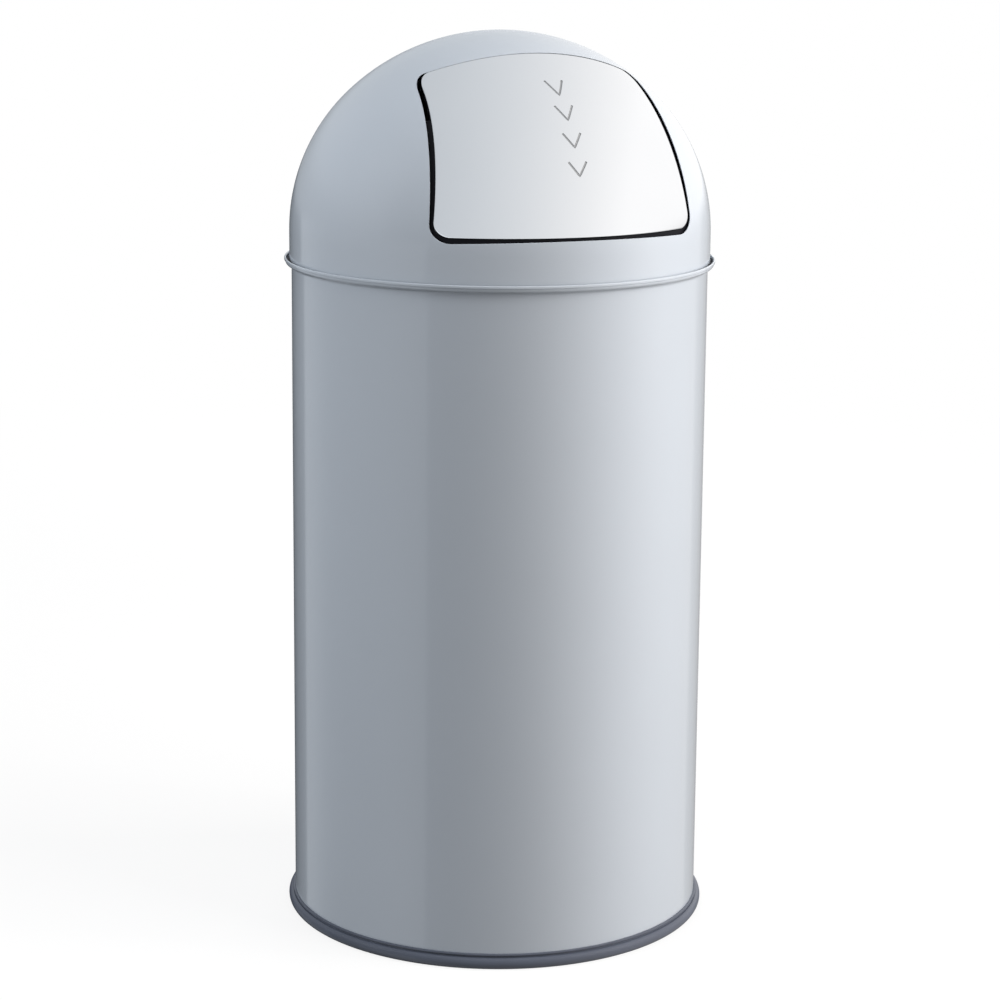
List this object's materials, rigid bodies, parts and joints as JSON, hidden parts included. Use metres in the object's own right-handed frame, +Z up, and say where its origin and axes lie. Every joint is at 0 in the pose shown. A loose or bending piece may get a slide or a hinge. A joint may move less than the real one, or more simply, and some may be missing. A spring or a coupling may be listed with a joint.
{
  "type": "push top bin",
  "caption": "Round waste bin with a tall cylindrical body, a lift-off domed lid, a spring-closed push flap in the dome, a plastic floor ring and a lift-out liner with a bail handle",
  "frame": {"origin": "on the floor, on the vertical axis of the bin, under the middle of the base ring", "axes": "+Z up along the bin's axis; -Y is the front, where the flap is; +Y is the back, where the body's seam is; +X is the right side seen from the back"},
  "size_m": [0.3569, 0.357, 0.7433],
  "materials": {
    "powder_coat": "gloss light blue-grey powder coat on 0.8 mm steel sheet",
    "polished_steel": "bright polished stainless steel sheet",
    "ring_plastic": "moulded dark blue-grey plastic with a satin sheen",
    "galvanised_steel": "hot-dip galvanised steel sheet with a soft spangle",
    "zinc_plated_steel": "zinc-plated steel, satin",
    "spring_steel": "oiled spring steel",
    "black_plastic": "black moulded plastic with a fine grain",
    "black_rubber": "black elastomer, matt",
    "natural_nylon": "natural off-white nylon"
  },
  "bodies": {
    "bin_body": {"body_shell": "powder_coat", "base_pan": "powder_coat", "base_ring": "ring_plastic"},
    "liner": {"liner_bucket": "galvanised_steel", "liner_base": "galvanised_steel", "bail_ear_left": "zinc_plated_steel", "bail_ear_right": "zinc_plated_steel", "ear_rivets": "zinc_plated_steel"},
    "bail": {"bail_wire": "zinc_plated_steel", "bail_grip": "black_plastic"},
    "lid": {"lid_dome": "powder_coat", "lid_edge_trim": "black_rubber", "lid_collar": "powder_coat", "hinge_bracket": "zinc_plated_steel", "hinge_bush_left": "natural_nylon", "hinge_bush_right": "natural_nylon", "torsion_spring": "spring_steel"},
    "flap": {"flap_plate": "polished_steel", "flap_backing": "black_plastic", "stop_pads": "black_rubber", "hinge_axle": "zinc_plated_steel", "axle_clip_left": "spring_steel", "axle_clip_right": "spring_steel"}
  },
  "joints": [
    {"name": "lid_lift", "type": "slide", "parent": "bin_body", "child": "lid", "axis": [0, 0, 1], "range_m": [0, 1.2]},
    {"name": "flap_swing", "type": "hinge", "parent": "lid", "child": "flap", "pos_m": [0, -0.06151, 0.70405], "axis": [1, 0, 0], "range_deg": [0, 55], "stiffness_Nm_per_rad": 0.25, "springref_deg": -103.13, "deforming": ["torsion_spring"]},
    {"name": "liner_lift", "type": "slide", "parent": "bin_body", "child": "liner", "axis": [0, 0, 1], "range_m": [0, 0.552]},
    {"name": "bail_swing", "type": "hinge", "parent": "liner", "child": "bail", "pos_m": [0, 0, 0.5223], "axis": [1, 0, 0], "range_deg": [0, 90]}
  ],
  "couplings": [
    {"joint": "liner_lift", "follows": "lid_lift", "ratio": 0.46}
  ]
}
